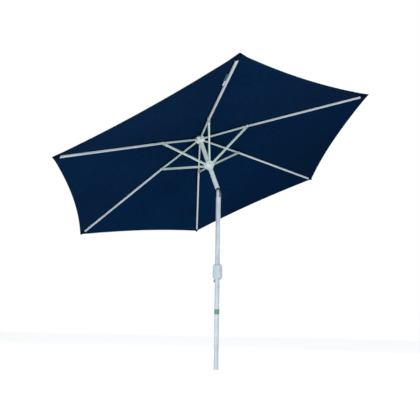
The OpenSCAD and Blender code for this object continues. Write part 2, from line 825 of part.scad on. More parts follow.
module runner() {
    edge = 4;
    half = runner_h / 2;
    cord_y = pulley_y + cord_wrap_r;
    color("#dfe2e4") in_head() translate([0, 0, runner_z]) difference() {
        rotate_extrude() polygon([
            [runner_bore_r, -half - collar_h], [collar_r - 1, -half - collar_h],
            [collar_r, -half - collar_h + 1], [collar_r, -half], [runner_r - edge, -half],
            [runner_r, -half + edge], [runner_r, half - edge], [runner_r - edge, half],
            [collar_r, half], [collar_r, half + top_collar_h - 1],
            [collar_r - 1, half + top_collar_h], [runner_bore_r, half + top_collar_h]]);
        difference() {
            slots(runner_slot_r, slot_w, half + 0.01);
            translate([0, 0, -half - collar_h]) cylinder(r = runner_slot_r, h = 2 * runner_h);
        }
        pin_holes(pin_r + fit_gap, runner_pivot_r);
        translate([0, cord_y, half + top_collar_h - anchor_depth - 1])
            cylinder(r = cord_r + rest_gap, h = anchor_depth + 2);
    }
}

module runner_pins() {
    color("#9aa0a6") in_head() translate([0, 0, runner_z]) for (k = [1:ribs])
        rotate([0, 0, (k - 1) * step]) translate([runner_pivot_r, 0, 0])
            along_y(pin_r, -pin_len / 2, pin_len / 2);
}

// ---- Ribs and struts ----

module rib_inner(k) {
    color("#c6d4d0") {
        difference() {
            union() {
                in_rib(k) {
                    along_y(rib_end_r, -tongue_w / 2, tongue_w / 2);
                    bar(0, rib_start + rib_lap, tongue_w, 2 * rib_end_r);
                    bar(rib_start, rib_joint + rib_past, rib_w, rib_h);
                }
                in_outer(k) bar(rib_past / 2, rib_splice, neck_w, neck_h);
            }
            in_rib(k) {
                bar(rib_start + rib_solid, rib_joint + rib_past - rib_lap,
                    rib_w - 2 * rib_wall, rib_h - 2 * rib_wall);
                along_y(pin_r + run_gap, -rib_w, rib_w);
                translate([rib_joint, 0, 0]) along_y(rivet_d / 2 + run_gap, -rib_w, rib_w);
            }
            in_outer(k) bar(rib_past / 2 - 1, rib_splice + 1,
                neck_w - 2 * rib_wall, neck_h - 2 * rib_wall);
        }
    }
}

module rib_outer(k) {
    from = outer_start - rib_joint;
    to = rib_len - rib_joint;
    inner_w = rib_out_w - 2 * rib_wall;
    inner_h = rib_out_h - 2 * rib_wall;
    color("#cccbdd") in_outer(k) {
        box_tube(from, to, rib_out_w, rib_out_h, rib_wall);
        bar(to - tip_plug, to + 0.01, inner_w - 2 * fit_gap, inner_h - 2 * fit_gap);
        bar(to + 0.005, to + tip_cap, rib_out_w, rib_out_h);
        translate([0, 0, rib_out_h / 2 - tip_drop - tip_t / 2])
            bar(to, to + tip_len, tip_w, tip_t);
    }
}

module strut(k) {
    plate = strut_w / 2 + fork_t;
    color("#c6d4d0") at_rib(k) translate([joint_r, 0, hub_z - joint_dz])
        rotate([0, 180 - strut_angle, 0]) {
            difference() {
                union() {
                    bar(strut_start, strut_len - strut_tail, strut_w, strut_h);
                    bar(strut_len - strut_tail - 2, strut_len, tongue_w, strut_h);
                    translate([strut_len, 0, 0])
                        along_y(strut_end_r, -tongue_w / 2, tongue_w / 2);
                    for (side = [-1, 1]) translate([0, side * (plate - fork_t / 2), 0]) {
                        bar(fork_corner - fork_past, fork_len, fork_t, strut_h);
                        bar(-fork_past, 0, fork_t, strut_h - 2 * fork_corner);
                        for (up = [-1, 1]) translate([fork_corner - fork_past, 0,
                            up * (strut_h / 2 - fork_corner)])
                            along_y(fork_corner, -fork_t / 2, fork_t / 2);
                    }
                }
                bar(strut_start - 1, strut_len - strut_tail - 6,
                    strut_w - 2 * rib_wall, strut_h - 2 * rib_wall);
                along_y(rivet_d / 2 + run_gap, -plate - 1, plate + 1);
                // The open pivot on the runner's pin
                translate([strut_len, 0, 0]) {
                    along_y(pin_r + open_gap, -tongue_w, tongue_w);
                    translate([0, 0, -open_travel])
                        along_y(pin_r + open_gap, -tongue_w, tongue_w);
                    translate([-pin_r - open_gap, -tongue_w, -open_travel])
                        cube([2 * (pin_r + open_gap), 2 * tongue_w, open_travel]);
                }
            }
            along_y(rivet_d / 2, -plate - 1, plate + 1);
            for (side = [0, 1]) rotate([0, 0, side * 180]) translate([0, plate + run_gap, 0])
                rotate([-90, 0, 0])
                    cylinder(r1 = rivet_head_r, r2 = rivet_head_r - 0.8, h = rivet_head_t);
        }
}

// ---- Canopy ----

// One rib's share of the canopy: half a panel on each side of the rib, its part of the
// vent canopy above, and the pocket that holds the rib's tip
module gore(k) {
    across = [for (j = [-gore_half:gore_half]) j / gore_half / 2];
    rows = gore_rows_in + gore_rows_out;
    color("#051c38") {
        at_rib(k) cloth([for (i = [0:rows]) [for (f = across)
            gore_point(gore_s(i, abs(f)), f)]], cloth_t);
        at_rib(k) cloth([for (i = [0:vent_rows]) [for (f = across)
            vent_point(vent_in_r + (vent_r - vent_in_r) * i / vent_rows, f)]], cloth_t);
        in_outer(k) pocket();
    }
}

module pocket() {
    from = rib_len - rib_joint + tip_cap + 0.5;
    to = rib_len - rib_joint + tip_len + 2;
    top = rib_out_h / 2 + rest_gap;
    gap = 0.5;
    low = rib_out_h / 2 - tip_drop - tip_t - gap;
    difference() {
        translate([from, -tip_w / 2 - 2, low - 1]) cube([to - from, tip_w + 4, top - low + 1]);
        translate([from - 1, -tip_w / 2 - gap, low])
            cube([to - from - 0.2, tip_w + 2 * gap, tip_t + 2 * gap]);
    }
}

module crown_patch() {
    under = cloth_t + rest_gap;
    color("#04152c") in_head() rotate_extrude() polygon([
        [5.5, hub_top + 0.1], [hub_rim_r + 0.5, hub_top + 0.1],
        [hub_rim_r + 0.5, vent_in_z + under], [vent_in_r, vent_in_z + under],
        [crown_out_r, vent_z(crown_out_r) + under + 0.6],
        [crown_out_r, vent_z(crown_out_r) + under + 2],
        [vent_in_r, hub_top + 4.5], [5.5, hub_top + 4.5]]);
}

module finial() {
    base = hub_top + 4.6;
    r = finial_r;
    color("#d6dcde") in_head() {
        translate([0, 0, hub_top - 12]) cylinder(r = 5.1, h = base - hub_top + 13);
        translate([0, 0, base]) rotate_extrude() polygon([
            [0, 0], [r - 1, 0], [r, finial_h * 0.03], [r * 0.88, finial_h * 0.08],
            [r * 0.52, finial_h * 0.14], [r * 0.36, finial_h * 0.22],
            [r * 0.36, finial_h * 0.35], [r * 0.52, finial_h * 0.42], [r * 0.68, finial_h * 0.55],
            [r * 0.72, finial_h * 0.66], [r * 0.64, finial_h * 0.8], [r * 0.4, finial_h * 0.93],
            [r * 0.16, finial_h], [0, finial_h]]);
    }
}

// A closing strap beside the last rib: a tab against the rib's side and the webbing past it
module tie_strap() {
    from = strap_at - rib_joint;
    side = -rib_out_w / 2 - rest_gap;
    under = strap_top - strap_t;
    tab_w = strap_gap + 0.7 * strap_w;
    color("#2b4a72") in_outer(strap_rib) {
        translate([from - tab_len, side - tab_w, under + 0.5 - tab_t])
            cube([tab_len + tab_lap, tab_w, tab_t]);
        translate([from, -strap_far, under]) cube([strap_len, strap_w, strap_t]);
    }
}

lower_pole();
foot_plug();
green_band();
pole_coupler();
snap_spring();
snap_button();
mid_pole();
housing_front_half();
housing_back_half();
housing_screws();
spool_bushings();
brake_spring();
crank_spool();
crank_handle();
knob_rivet();
crank_knob();
lower_knuckle();
knuckle_rivets();
tilt_pin();
tilt_button();
tilt_spring();
lift_cord_lower();
upper_knuckle();
upper_pole();
hub();
hub_pins();
pulley();
pulley_pin();
lift_cord_upper();
lift_cord_tail();
runner();
runner_pins();
crown_patch();
finial();
tie_strap();
for (k = [1:ribs]) {
    rib_inner(k);
    rib_outer(k);
    strut(k);
    gore(k);
}
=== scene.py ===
import bpy
import bmesh
import json
import math
from mathutils import Matrix, Vector


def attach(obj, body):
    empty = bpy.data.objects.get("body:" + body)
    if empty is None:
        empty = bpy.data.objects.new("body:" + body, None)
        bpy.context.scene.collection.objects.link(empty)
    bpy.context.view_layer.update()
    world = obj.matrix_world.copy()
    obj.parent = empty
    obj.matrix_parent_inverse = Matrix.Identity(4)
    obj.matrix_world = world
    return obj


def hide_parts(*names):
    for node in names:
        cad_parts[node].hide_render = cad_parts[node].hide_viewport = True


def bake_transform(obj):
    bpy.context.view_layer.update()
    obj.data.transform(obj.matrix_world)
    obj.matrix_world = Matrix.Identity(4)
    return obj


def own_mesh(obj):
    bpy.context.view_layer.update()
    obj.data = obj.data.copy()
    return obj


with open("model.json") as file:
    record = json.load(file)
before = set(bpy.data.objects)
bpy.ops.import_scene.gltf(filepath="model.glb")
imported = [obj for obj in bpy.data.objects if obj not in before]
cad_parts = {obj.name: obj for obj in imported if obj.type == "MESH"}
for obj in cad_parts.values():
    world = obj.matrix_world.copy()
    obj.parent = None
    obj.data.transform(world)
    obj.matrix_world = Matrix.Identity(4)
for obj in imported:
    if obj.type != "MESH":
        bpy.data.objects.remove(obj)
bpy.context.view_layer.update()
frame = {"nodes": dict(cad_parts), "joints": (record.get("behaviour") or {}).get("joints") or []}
nodes = frame["nodes"]
joints = {j["name"]: j for j in frame["joints"]}
print("frame loaded:", len(nodes), "nodes")

ribIndex = range(1, 7)
ribStep = 60  # degrees between two ribs
halfSin, halfCos = 0.5, 0.866  # of half that angle

# the tilted head's own frame, and the line that each rib follows in it (metres, degrees)
head = {
    "pivotHeight": joints["tilt"]["pos_m"][2],
    "tilt": 20.0,
    "hubHeight": 0.517,
    "ribPivot": 0.0283,
    "jointAt": 0.4047,    # strut's rivet, measured along the rib
    "innerDrop": 12.5,
    "outerDrop": 13.9,
    "outerWidth": 0.0145,
    "runnerTop": 0.2855,
}

headMatrix = (Matrix.Translation((0, 0, head["pivotHeight"]))
              @ Matrix.Rotation(math.radians(-head["tilt"]), 4, "Y"))


def ribMatrix(k):
    return headMatrix @ Matrix.Rotation(math.radians(ribStep * (k - 1)), 4, "Z")


def ribLine(s):  # distance from the pole's axis and height against the hub's pivots
    inner = min(s, head["jointAt"])
    outer = max(s - head["jointAt"], 0)
    a, b = math.radians(head["innerDrop"]), math.radians(head["outerDrop"])
    return (head["ribPivot"] + inner * math.cos(a) + outer * math.cos(b),
            -inner * math.sin(a) - outer * math.sin(b))


def outerMatrix(k):  # origin at the strut's rivet, +X out along the outer rib
    radius, drop = ribLine(head["jointAt"])
    return (ribMatrix(k) @ Matrix.Translation((radius, 0, head["hubHeight"] + drop))
            @ Matrix.Rotation(math.radians(head["outerDrop"]), 4, "Y"))


def linear(colour):  # from 0-255 display values
    return tuple((c / 255 / 12.92) if c / 255 <= 0.04045 else ((c / 255 + 0.055) / 1.055) ** 2.4
                 for c in colour) + (1.0,)


def makePiece(name, bm, material, body, smooth=True):
    mesh = bpy.data.meshes.new(name)
    bm.to_mesh(mesh)
    bm.free()
    piece = bpy.data.objects.new(name, mesh)
    bpy.context.scene.collection.objects.link(piece)
    mesh.materials.append(material)
    for face in mesh.polygons:
        face.use_smooth = smooth
    if body:
        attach(piece, body)
    return piece


# node helpers, for a material or the world

def addNode(owner, kind, **sockets):
    node = owner.node_tree.nodes.new(kind)
    for key, value in sockets.items():
        node.inputs[key].default_value = value
    return node


def link(owner, output, target):
    owner.node_tree.links.new(output, target)


def feed(owner, socket, value):
    if isinstance(value, (int, float, tuple)):
        socket.default_value = value
    elif value is not None:
        link(owner, value, socket)


def newMaterial(name, roughness, **fixed):
    material = bpy.data.materials.new(name)
    material.use_nodes = True
    shader = material.node_tree.nodes["Principled BSDF"]
    shader.inputs["Roughness"].default_value = roughness
    for key, value in fixed.items():
        shader.inputs[key].default_value = value
    return material, shader


def mathNode(owner, operation, a, b=None):
    node = addNode(owner, "ShaderNodeMath")
    node.operation = operation
    feed(owner, node.inputs[0], a)
    feed(owner, node.inputs[1], b)
    return node.outputs[0]


def times(owner, a, b):
    return mathNode(owner, "MULTIPLY", a, b)


def mixColours(owner, factor, a, b):
    node = addNode(owner, "ShaderNodeMix")
    node.data_type = "RGBA"
    feed(owner, node.inputs[0], factor)
    feed(owner, node.inputs[6], a)
    feed(owner, node.inputs[7], b)
    return node.outputs[2]


def mixShaders(owner, factor, a, b, target):
    node = addNode(owner, "ShaderNodeMixShader")
    for socket, value in zip(node.inputs, (factor, a, b)):
        link(owner, value, socket)
    link(owner, node.outputs[0], target)


def noiseOf(owner, vector, scale, detail=3.0):
    node = addNode(owner, "ShaderNodeTexNoise", Scale=scale, Detail=detail)
    link(owner, vector, node.inputs["Vector"])
    return node.outputs["Fac"]


def rampOf(owner, factor, low, high):  # 0 below low, 1 above high
    node = addNode(owner, "ShaderNodeMapRange")
    node.inputs["From Min"].default_value = low
    node.inputs["From Max"].default_value = high
    link(owner, factor, node.inputs["Value"])
    return node.outputs["Result"]


def splitOf(owner, vector):
    node = addNode(owner, "ShaderNodeSeparateXYZ")
    link(owner, vector, node.inputs[0])
    return node.outputs


def attributeOf(owner, name):
    node = addNode(owner, "ShaderNodeAttribute")
    node.attribute_name = name
    return node.outputs["Fac"]


def bumpInto(material, shader, height, strength, distance):
    node = addNode(material, "ShaderNodeBump", Strength=strength, Distance=distance)
    link(material, height, node.inputs["Height"])
    link(material, node.outputs["Normal"], shader.inputs["Normal"])


def objectCoords(material):
    return addNode(material, "ShaderNodeTexCoord").outputs["Object"]


def patchyRoughness(material, shader, where, middle, spread=0.06):
    node = addNode(material, "ShaderNodeMapRange")
    node.inputs["To Min"].default_value = middle - spread
    node.inputs["To Max"].default_value = middle + spread
    link(material, noiseOf(material, where, scale=26.0, detail=4.0), node.inputs["Value"])
    link(material, node.outputs["Result"], shader.inputs["Roughness"])


# finishes of the hard parts

def powderCoat(name, colour, worn, roughness=0.42):
    material, shader = newMaterial(name, roughness)
    where = objectCoords(material)
    broad = rampOf(material, noiseOf(material, where, scale=7.0), 0.35, 0.65)
    colours = mixColours(material, broad, linear(colour), linear(worn))
    specks = rampOf(material, noiseOf(material, where, scale=420.0, detail=2.0), 0.66, 0.74)
    speckColour = linear([c * 0.72 for c in colour])
    colours = mixColours(material, times(material, specks, 0.10), colours, speckColour)
    link(material, colours, shader.inputs["Base Color"])
    patchyRoughness(material, shader, where, roughness)
    grain = noiseOf(material, where, scale=900.0, detail=2.0)
    bumpInto(material, shader, grain, strength=0.25, distance=0.00004)
    return material


def poleCoat(name, stops, roughness=0.36):  # stops: (height in metres, colour) up the pole
    material, shader = newMaterial(name, roughness)
    where = objectCoords(material)
    height = splitOf(material, where)["Z"]
    low, high = stops[0][0], stops[-1][0]
    ramp = addNode(material, "ShaderNodeValToRGB")
    for i, (at, colour) in enumerate(stops):
        place = (at - low) / (high - low)
        stop = ramp.color_ramp.elements[i] if i < 2 else ramp.color_ramp.elements.new(place)
        stop.position, stop.color = place, linear(colour)
    link(material, rampOf(material, height, low, high), ramp.inputs["Fac"])
    broad = rampOf(material, noiseOf(material, where, scale=9.0), 0.4, 0.7)
    colours = mixColours(material, times(material, broad, 0.5), ramp.outputs["Color"],
                         linear((216, 223, 228)))
    link(material, colours, shader.inputs["Base Color"])
    patchyRoughness(material, shader, where, roughness)
    grain = noiseOf(material, where, scale=1100.0, detail=2.0)
    bumpInto(material, shader, grain, strength=0.2, distance=0.00003)
    return material


def mouldedPlastic(name, colour, other, roughness=0.45):
    material, shader = newMaterial(name, roughness)
    where = objectCoords(material)
    broad = rampOf(material, noiseOf(material, where, scale=18.0), 0.35, 0.7)
    colours = mixColours(material, broad, linear(colour), linear(other))
    link(material, colours, shader.inputs["Base Color"])
    patchyRoughness(material, shader, where, roughness, spread=0.05)
    grain = noiseOf(material, where, scale=1500.0, detail=2.0)
    bumpInto(material, shader, grain, strength=0.3, distance=0.00005)
    return material


def bareMetal(name, colour, roughness=0.3):
    material, shader = newMaterial(name, roughness, Metallic=1.0)
    where = objectCoords(material)
    streaks = noiseOf(material, where, scale=160.0, detail=4.0)
    colours = mixColours(material, streaks, linear(colour), linear([c * 0.8 for c in colour]))
    link(material, colours, shader.inputs["Base Color"])
    patchyRoughness(material, shader, where, roughness, spread=0.08)
    return material


# cloth, webbing and cord
cloth = {
    "colour": (1, 26, 55),
    "light": (3, 39, 73),
    "dark": (1, 19, 46),
    "thread": 0.0011,         # spacing of the weave's threads
    "roughness": 0.9,
    "specular": 0.02,
    "litSide": (-0.75, -0.65, 0.0),  # painted light and shade: the cloth is painted lighter towards this side and darker on the far side, as light falls on the canopy
    "paintedLight": (-1.15, -0.2),
    "patches": 0.6,
    "ribShadeColour": (1, 9, 26),    # painted shade that lies along each rib on the cloth's underside
    "ribShade": 0.017,             # its half width
    "ribShadeReach": 0.1,          # from the rib's line to where the attribute is 0
    "ribShadeBlur": 0.04,
    "ribShadeStrength": 0.8,
    "stitchPitch": 0.0042,
}


# painted shade: a darker strip on the cloth's underside beside each rib, where the rib shades it
def paintRibShade(material, colours):
    edge = 1 - cloth["ribShade"] / cloth["ribShadeReach"]
    ribShade = rampOf(material, attributeOf(material, "ribShade"), edge - cloth["ribShadeBlur"], edge)
    normal = addNode(material, "ShaderNodeTexCoord").outputs["Normal"]
    below = rampOf(material, splitOf(material, normal)["Z"], 0.1, -0.1)  # underside only
    ribShade = times(material, times(material, ribShade, below), cloth["ribShadeStrength"])
    return mixColours(material, ribShade, colours, linear(cloth["ribShadeColour"]))


def wovenCloth(name, colour, light, dark, thread, stitchColour=None):
    material, shader = newMaterial(name, cloth["roughness"])
    shader.inputs["Specular IOR Level"].default_value = cloth["specular"]
    uv = addNode(material, "ShaderNodeUVMap")
    uv.uv_map = "cloth"
    where = objectCoords(material)
    split = splitOf(material, uv.outputs[0])
    waves = [mathNode(material, "SINE", times(material, split[axis], 2 * math.pi / thread))
             for axis in ("X", "Y")]
    weave = times(material, waves[0], waves[1])
    slub = noiseOf(material, uv.outputs[0], scale=240.0)
    # painted light and shade: the cloth's colour runs lighter towards one side of the canopy and
    # darker on the far side, standing in for how light falls on it
    lightFacing = addNode(material, "ShaderNodeVectorMath")
    lightFacing.operation = "DOT_PRODUCT"
    lightFacing.inputs[1].default_value = cloth["litSide"]
    link(material, where, lightFacing.inputs[0])
    paintedLight = rampOf(material, lightFacing.outputs["Value"], *cloth["paintedLight"])
    patches = rampOf(material, noiseOf(material, where, scale=2.6, detail=4.0), 0.3, 0.7)
    patches = mathNode(material, "ADD", 0.55, times(material, cloth["patches"], patches))
    fine = rampOf(material, noiseOf(material, where, scale=38.0), 0.3, 0.75)
    colours = mixColours(material, times(material, paintedLight, patches), linear(colour), linear(light))
    colours = mixColours(material, times(material, fine, 0.5), colours, linear(dark))
    threads = times(material, rampOf(material, weave, -1, 1), 0.25)
    colours = mixColours(material, threads, colours, linear(dark))
    if stitchColour:  # attribute "seam": distance in metres from the sewn line
        away = mathNode(material, "ABSOLUTE", attributeOf(material, "seam"))
        onLine = rampOf(material, away, 0.0009, 0.0003)
        dashes = mathNode(material, "SINE",
                          times(material, split["Y"], 2 * math.pi / cloth["stitchPitch"]))
        sewn = times(material, onLine, rampOf(material, dashes, -0.3, 0.1))
        colours = mixColours(material, sewn, colours, linear(stitchColour))
        colours = paintRibShade(material, colours)
    link(material, colours, shader.inputs["Base Color"])
    height = mathNode(material, "ADD", weave, times(material, slub, 1.2))
    bumpInto(material, shader, height, strength=0.5, distance=0.00012)
    return material


finishes = {
    # painted light and shade: the pole's one powder coat gets a different colour on each tube and
    # along its height, the upper tube much lighter than the lower ones, standing in for how light
    # falls on the pole
    "lowerTube": poleCoat("lowerTubeCoat", [(0.0, (182, 193, 200)), (0.25, (178, 190, 198)),
                                            (0.45, (168, 182, 190)), (0.603, (170, 182, 191))]),
    "midTube": poleCoat("midTubeCoat", [(0.603, (166, 176, 185)), (0.70, (165, 176, 186)),
                                        (0.90, (170, 182, 191)), (1.35, (180, 191, 198))]),
    "upperTube": poleCoat("upperTubeCoat", [(1.42, (192, 212, 210)), (1.60, (200, 220, 218)),
                                            (1.76, (222, 238, 235)), (1.90, (236, 246, 244))]),
    "innerRib": powderCoat("innerRibCoat", (191, 216, 211), (201, 219, 215)),
    "outerRib": powderCoat("outerRibCoat", (197, 207, 219), (207, 216, 225)),
    "band": mouldedPlastic("bandSleeve", (62, 132, 96), (78, 144, 110), 0.4),
    "housing": mouldedPlastic("housingShell", (177, 188, 196), (182, 192, 199), 0.42),
    "hub": mouldedPlastic("hubNylon", (238, 246, 244), (231, 240, 238), 0.42),
    "runner": mouldedPlastic("runnerNylon", (222, 231, 231), (214, 225, 225), 0.42),
    "knuckleLight": mouldedPlastic("knuckleCast", (196, 201, 216), (190, 196, 210), 0.4),
    "knuckleDark": mouldedPlastic("knuckleCore", (52, 48, 60), (66, 62, 74), 0.5),
    "button": mouldedPlastic("buttonRubber", (100, 104, 112), (84, 88, 96), 0.6),
    "crank": mouldedPlastic("crankGrip", (74, 78, 86), (58, 62, 70), 0.55),
    "plug": mouldedPlastic("plugPlastic", (92, 97, 103), (80, 84, 90), 0.6),
    "nylon": mouldedPlastic("bushingNylon", (226, 224, 212), (216, 214, 204), 0.5),
    "zinc": bareMetal("zincPlate", (176, 180, 184)),
    "finial": mouldedPlastic("finialPlastic", (208, 214, 218), (198, 206, 212), 0.35),
    "cloth": wovenCloth("canopyCloth", cloth["colour"], cloth["light"], cloth["dark"],
                        cloth["thread"], stitchColour=(24, 48, 78)),
    "webbing": wovenCloth("strapWebbing", (90, 104, 144), (104, 118, 156), (70, 84, 122), 0.0022),
    "pocket": wovenCloth("pocketCloth", (3, 21, 47), (4, 26, 52), (2, 15, 37),
                         cloth["thread"], stitchColour=(20, 42, 72)),
    "tab": wovenCloth("strapTab", (206, 216, 224), (216, 224, 230), (184, 194, 204), 0.0016),
    "cord": wovenCloth("cordBraid", (228, 228, 222), (238, 238, 234), (186, 186, 180), 0.0016),
}
print("finishes made:", len(finishes))

dressed = {
    "lowerTube": ["lower_pole"],
    "midTube": ["mid_pole"],
    "upperTube": ["upper_pole"],
    "band": ["green_band"],
    "plug": ["foot_plug"],
    "zinc": ["pole_coupler", "snap_spring", "snap_button", "housing_screws", "brake_spring",
             "crank_spool", "knob_rivet", "knuckle_rivets", "tilt_pin", "tilt_spring", "hub_pins",
             "pulley_pin", "runner_pins"],
    "housing": ["housing_front_half", "housing_back_half"],
    "nylon": ["spool_bushings", "pulley"],
    "crank": ["crank_handle", "crank_knob"],
    "knuckleLight": ["lower_knuckle"],
    "knuckleDark": ["upper_knuckle"],
    "button": ["tilt_button"],
    "hub": ["hub"],
    "runner": ["runner"],
    "finial": ["finial"],
    "innerRib": [f"{part}_{k}" for part in ("rib_inner", "strut") for k in ribIndex],
    "outerRib": [f"rib_outer_{k}" for k in ribIndex],
}
for finish, names in dressed.items():
    for name in names:
        mesh = nodes[name].data
        mesh.materials.clear()
        mesh.materials.append(finishes[finish])
print("solids dressed")


# canopy: s is the distance along a rib, f is 0 on the panel's own rib and 0.5 halfway to the next
canopy = {
    "corner": [1.386, 1.375, 1.371, 1.381, 1.376, 1.390],  # from each rib's pivot to its corner
    "reach": 1.381,        # and the mean
    "ears": [0.006, 0.0, 0.002, 0.0, 0.004, 0.012],  # how far the pocket pulls the corner out
    "earWidth": 0.05,
    "scallop": 0.041,      # inward sweep of the hem between two ribs
    "sag": 0.008,          # of the hem below the flat panel
    "liftJoint": 0.0133,   # underside above the rib's middle line at the strut's rivet
    "liftTip": 0.00705,    # and at the corner
    "thickness": 0.0009,
    "holeRadius": 0.145,
    "across": 40,
    "along": 56,
    "hem": 0.022,
    "gather": 0.905,       # how far the cloth narrows when the ribs close
    "seamTape": 0.013,
}

wrinkles = {  # small pulls that run in from the corners and the ribs' ends
    "from": 0.35,
    "pull": 0.0016,
    "pullAcross": 46,
    "pullAlong": 5.5,
    "pullFade": 9,
    "slack": 0.0011,
    "slackAcross": 2.0,
    "slackAlong": 9.0,
    "ribEase": 14,         # they grow from nothing on the rib itself
}

vent = {
    "inner": 0.05196,
    "outer": 0.262,
    "top": 0.536,
    "overCanopy": 0.002,
    "billow": 0.016,
    "hem": 0.012,
    "length": 0.216,
    "gather": 0.985,
    "across": 28,
    "along": 14,
}


def between(f):  # 0 on the ribs, 1 halfway between two ribs
    return 4 * abs(f) * (1 - abs(f))


def spread(radius, f, z):
    return Vector((radius * (1 - abs(f) / 2), radius * f * math.sin(math.radians(ribStep)), z))


def cornerAt(k, f):  # a panel's two corners meet halfway between its ribs
    own, other = canopy["corner"][k - 1], canopy["corner"][(k - 1 + (1 if f > 0 else -1)) % 6]
    return own + (other - own) * abs(f)


def hemAt(k, f):
    ear = canopy["ears"][k - 1] * max(0, 1 - abs(f) / canopy["earWidth"])
    scallop = canopy["scallop"] / math.cos(math.radians(ribStep / 2))
    return cornerAt(k, f) + ear - scallop * between(f)


def wrinkle(s, f):
    w = wrinkles
    near = max(0.0, (s - w["from"]) / canopy["reach"])
    pull = (math.sin(abs(f) * w["pullAcross"] + w["pullAlong"] * s)
            * math.exp(-abs(f) * w["pullFade"]) * near ** 2)
    slack = math.sin(s * w["slackAlong"] + w["slackAcross"] * abs(f)) * between(f) * near
    return w["pull"] * pull + w["slack"] * slack


def clothSpot(s, f):
    radius, drop = ribLine(s)
    share = max(s - head["jointAt"], 0) / (canopy["reach"] - head["jointAt"])
    lift = canopy["liftJoint"] + (canopy["liftTip"] - canopy["liftJoint"]) * share
    sag = canopy["sag"] * between(f) * (s / canopy["reach"]) ** 2
    return spread(radius, f, head["hubHeight"] + drop + lift - sag
                  + wrinkle(s, f) * min(1, abs(f) * wrinkles["ribEase"]))


def alongAt(radius):
    return (radius - head["ribPivot"]) / math.cos(math.radians(head["innerDrop"]))


def ventSpot(radius, f):
    start, end = vent["inner"], vent["outer"]
    low = clothSpot(alongAt(end), 0).z + vent["overCanopy"]
    share = (radius - start) / (end - start)
    return spread(radius, f, vent["top"] + share * (low - vent["top"])
                  + vent["billow"] * between(f) * share)


def closeSheet(bm, thickness, side):  # a second face at this distance, and rims with sharp edges
    bm.normal_update()
    moved = {v: v.co + v.normal * thickness * side for v in bm.verts}
    rim = [e for e in bm.edges if e.is_boundary]
    copy = bmesh.ops.duplicate(bm, geom=bm.verts[:] + bm.edges[:] + bm.faces[:])
    twin = {a: b for a, b in copy["vert_map"].items() if a in moved}
    for a, b in twin.items():
        b.co = moved[a]
    turned = [f for f in copy["geom"] if isinstance(f, bmesh.types.BMFace)]
    if side > 0:
        turned = [f for f in bm.faces if f not in set(turned)]
    bmesh.ops.reverse_faces(bm, faces=turned)
    for edge in rim:
        a, b = edge.verts
        wall = bm.faces.new((a, b, twin[b], twin[a]))
        for e in wall.edges:
            if twin.get(e.verts[0]) is not e.verts[1]:
                e.smooth = False
    bmesh.ops.recalc_face_normals(bm, faces=bm.faces[:])


def panelMap(bm):  # each half panel is cut along its own middle line
    uv = bm.loops.layers.uv.new("cloth")
    for face in bm.faces:
        side = 1 if face.calc_center_median().y > 0 else -1
        for loop in face.loops:
            x, y = loop.vert.co.x, loop.vert.co.y * side
            loop[uv].uv = (side * (y * halfCos - x * halfSin), x * halfCos + y * halfSin)


def clothSheet(name, k, across, along, place, seamOf, thickness, side=1):
    bm = bmesh.new()
    bmesh.ops.create_grid(bm, x_segments=across, y_segments=along, size=0.5)
    seam, ribShade = (bm.verts.layers.float.new(layer) for layer in ("seam", "ribShade"))
    for vert in bm.verts:
        f, t = vert.co.x, vert.co.y + 0.5
        vert[seam] = seamOf(f, t)
        vert.co = place(f, t)
        # closeness to the rib's line, the mask for the painted shade beside each rib
        vert[ribShade] = max(0, 1 - abs(vert.co.y) / cloth["ribShadeReach"])
    bmesh.ops.recalc_face_normals(bm, faces=bm.faces[:])
    bm.normal_update()
    if sum(f.normal.z for f in bm.faces) < 0:
        bmesh.ops.reverse_faces(bm, faces=bm.faces[:])
    closeSheet(bm, thickness, side)
    panelMap(bm)
    bm.transform(ribMatrix(k))
    return makePiece(name, bm, finishes["cloth"], f"rib_{k}")


def gatherWith(piece, keep):
    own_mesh(piece)


def goreOf(k):
    first = alongAt(canopy["holeRadius"])

    def place(f, t):
        return clothSpot(first + (hemAt(k, f) - first) * t, f)

    def seamOf(f, t):
        s = first + (hemAt(k, f) - first) * t
        return min(abs(hemAt(k, f) - canopy["hem"] - s),
                   abs(abs(f) * ribLine(s)[0] * halfCos - canopy["seamTape"] / 2))

    gore = clothSheet(f"canopyGore_{k}", k, canopy["across"], canopy["along"], place, seamOf,
                      canopy["thickness"])
    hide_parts(f"gore_{k}")
    return gore


def ventOf(k):
    def place(f, t):
        return ventSpot(vent["inner"] + (vent["outer"] - vent["inner"]) * t, f)

    def seamOf(f, t):
        return abs((1 - t) * vent["length"] - vent["hem"])

    return clothSheet(f"ventGore_{k}", k, vent["across"], vent["along"], place, seamOf,
                      canopy["thickness"])


hemFold = {"rows": 3, "lower": 0.0002, "stitchAt": 0.003, "thickness": 0.0011}


def hemOf(k):
    def place(f, t):
        spot = clothSpot(hemAt(k, f) - canopy["hem"] * (1 - t), f)
        spot.z -= hemFold["lower"]
        return spot

    def seamOf(f, t):
        return canopy["hem"] * t - hemFold["stitchAt"]

    return clothSheet(f"hemFold_{k}", k, canopy["across"], hemFold["rows"], place, seamOf,
                      hemFold["thickness"], side=-1)


ribTape = {"across": 4, "along": 70, "shortOfCorner": 0.004, "gap": 0.0001, "crown": 0.0005,
           "stitchAt": 0.002, "thickness": 0.0006}


def ribSeamOf(k):
    first = alongAt(canopy["holeRadius"])

    def place(f, t):
        s = first + (cornerAt(k, 0) - ribTape["shortOfCorner"] - first) * t
        spot = clothSpot(s, f * canopy["seamTape"] / (ribLine(s)[0] * halfCos))
        spot.z += canopy["thickness"] + ribTape["gap"] + ribTape["crown"] * (1 - (2 * f) ** 2)
        return spot

    def seamOf(f, t):
        return (0.5 - abs(f)) * canopy["seamTape"] - ribTape["stitchAt"]

    return clothSheet(f"ribSeam_{k}", k, ribTape["across"], ribTape["along"], place, seamOf,
                      ribTape["thickness"])


